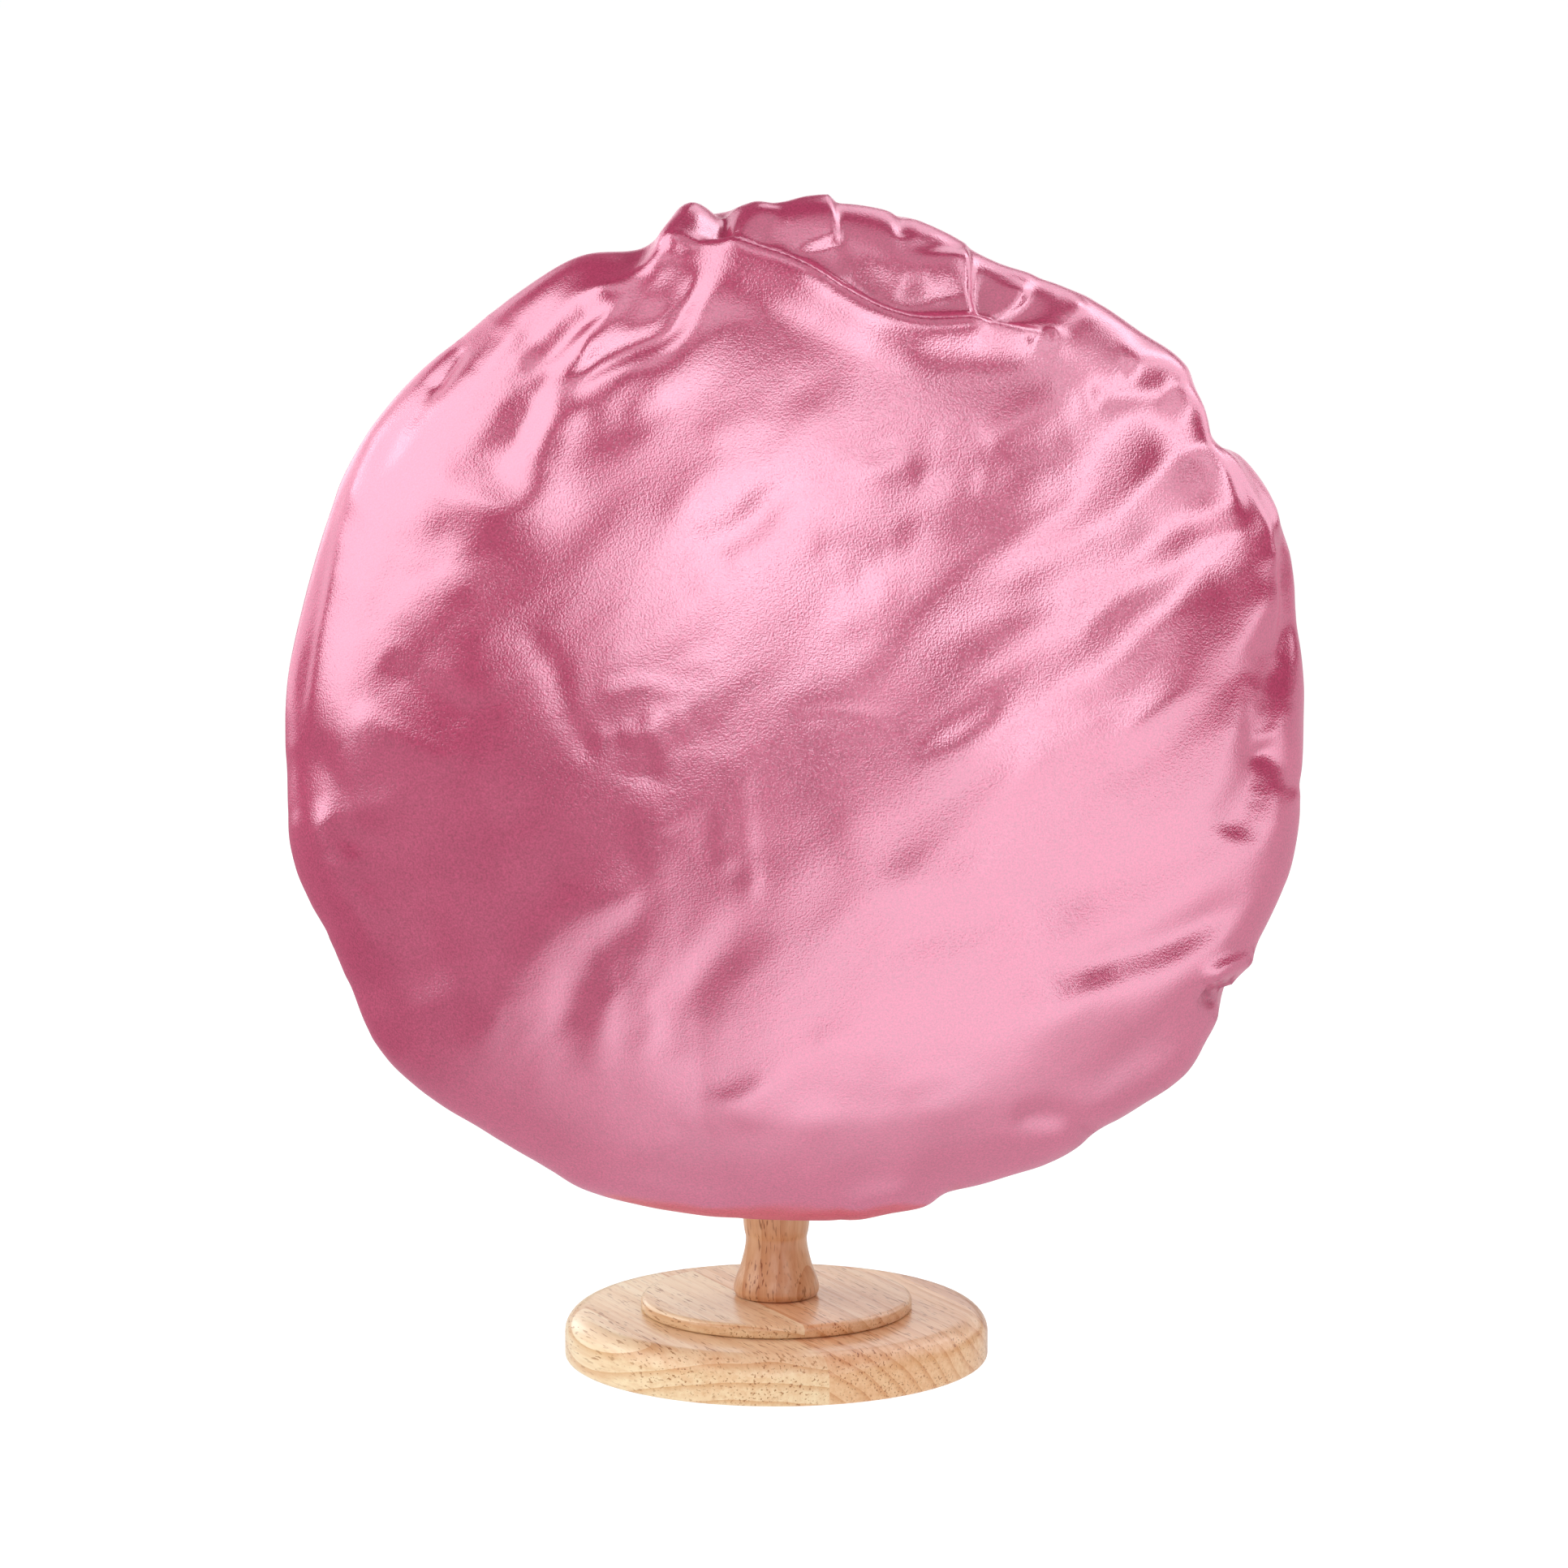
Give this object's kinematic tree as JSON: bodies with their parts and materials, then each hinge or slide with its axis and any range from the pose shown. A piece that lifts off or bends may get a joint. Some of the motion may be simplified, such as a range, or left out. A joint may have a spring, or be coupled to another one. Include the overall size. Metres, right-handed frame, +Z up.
{
  "type": "sleep bonnet on wooden hat stand",
  "caption": "Round pink satin sleep bonnet, puffed out and hung by its elastic rim on the domed head of a turned wooden display stand with a stepped round base.",
  "frame": {"origin": "centre of the stand's underside, on the post's axis", "axes": "+Z up along the post, -Y out of the bonnet's puffed front, +X to the right as seen from the front"},
  "size_m": [0.3433, 0.2124, 0.4172],
  "materials": {
    "crown_front_satin": "satin weave, glossy side out",
    "crown_back_satin": "satin weave, glossy side out",
    "band_satin": "ruched satin over elastic",
    "base_wood": "clear satin varnish",
    "step_wood": "clear satin varnish",
    "post_wood": "clear satin varnish",
    "head_wood": "clear satin varnish"
  },
  "bodies": {
    "root": {"crown_front": "crown_front_satin", "crown_back": "crown_back_satin", "band": "band_satin", "stand_base": "base_wood", "stand_step": "step_wood", "stand_post": "post_wood", "stand_head": "head_wood"}
  },
  "joints": []
}
